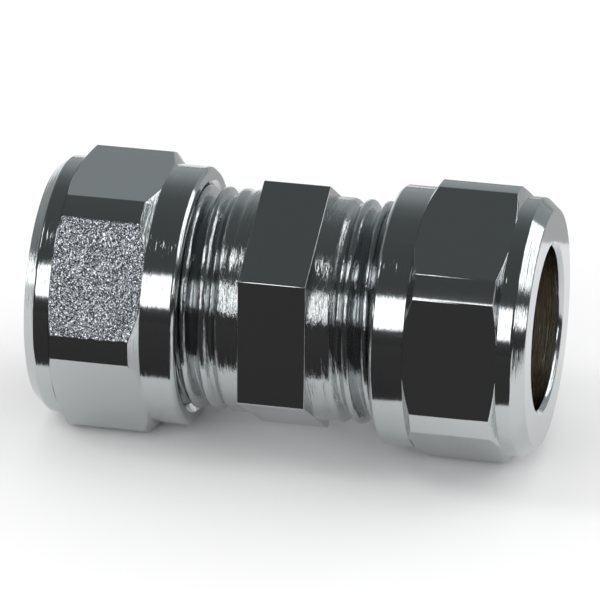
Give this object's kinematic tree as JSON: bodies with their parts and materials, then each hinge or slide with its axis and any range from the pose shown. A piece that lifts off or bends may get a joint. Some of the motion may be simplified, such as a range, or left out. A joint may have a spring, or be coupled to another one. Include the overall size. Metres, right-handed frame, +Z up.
{
  "type": "compression straight connector",
  "caption": "Straight compression coupling for plain pipe ends: threaded body with a middle hexagon, round-skirted hexagon nuts at the ends and a sealing olive under each nut.",
  "frame": {"origin": "on the pipe axis in the middle of the body, halfway along its hexagon", "axes": "+X along the pipe axis to the right end, +Z up from the flat that the left nut lies on, and -Y towards the viewer of the picture"},
  "size_m": [0.0473, 0.0264, 0.0264],
  "materials": {
    "chrome_plating": "polished chrome plating over turned brass",
    "olive_brass": "plain turned brass"
  },
  "bodies": {
    "body": {"body": "chrome_plating"},
    "left_olive": {"left_olive": "olive_brass"},
    "left_nut": {"left_nut": "chrome_plating"},
    "right_olive": {"right_olive": "olive_brass"},
    "right_nut": {"right_nut": "chrome_plating"}
  },
  "joints": [
    {"name": "left_nut_advance", "type": "slide", "parent": "body", "child": "left_olive", "axis": [-1, 0, 0], "range_m": [0, 0.00472]},
    {"name": "left_nut_turn", "type": "hinge", "parent": "left_olive", "child": "left_nut", "pos_m": [-0.01591, 0, 0], "axis": [-1, 0, 0], "range_deg": [0, 936]},
    {"name": "right_nut_advance", "type": "slide", "parent": "body", "child": "right_olive", "axis": [1, 0, 0], "range_m": [-0.00053, 0.00419]},
    {"name": "right_nut_turn", "type": "hinge", "parent": "right_olive", "child": "right_nut", "pos_m": [0.01591, 0, 0], "axis": [1, 0, 0], "range_deg": [-104.4, 831.6]}
  ],
  "couplings": [
    {"joint": "left_nut_advance", "follows": "left_nut_turn", "m_per_rad": 0.00028871},
    {"joint": "right_nut_advance", "follows": "right_nut_turn", "m_per_rad": 0.00028871}
  ]
}
